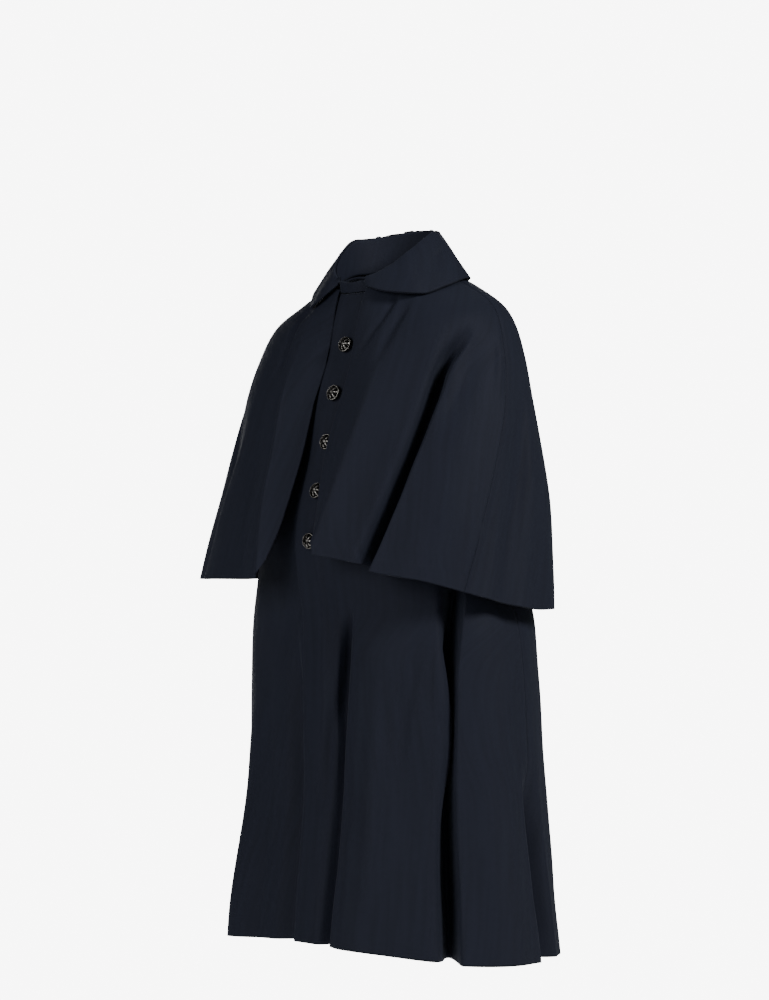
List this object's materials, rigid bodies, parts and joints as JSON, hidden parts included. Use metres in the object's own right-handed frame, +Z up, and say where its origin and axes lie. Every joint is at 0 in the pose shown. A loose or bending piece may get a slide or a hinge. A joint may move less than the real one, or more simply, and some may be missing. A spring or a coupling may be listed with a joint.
{
  "type": "coachman coat",
  "caption": "Long flared sleeveless coat with a buttoned front, an elbow-length shoulder cape and a wide rounded turn-down collar, in its hollow worn form.",
  "frame": {"origin": "middle of the neck opening, level with the back neck seam, where the wearer's neck and shoulders hold the coat", "axes": "+Z up, -Y to the front, +X to the wearer's left"},
  "size_m": [0.559, 0.4156, 1.0293],
  "materials": {
    "cloth": "smooth dark navy wool-like twill with a faint sheen",
    "button_metal": "antique pewter, dark in the hollows and worn bright on the raised ornament"
  },
  "bodies": {
    "root": {"coat_front_left": "cloth", "coat_front_right": "cloth", "coat_back": "cloth", "cape_front_left": "cloth", "cape_front_right": "cloth", "cape_back": "cloth", "collar_stand": "cloth", "collar_fall": "cloth", "button_1": "button_metal", "button_2": "button_metal", "button_3": "button_metal", "button_4": "button_metal", "button_5": "button_metal"}
  },
  "joints": []
}
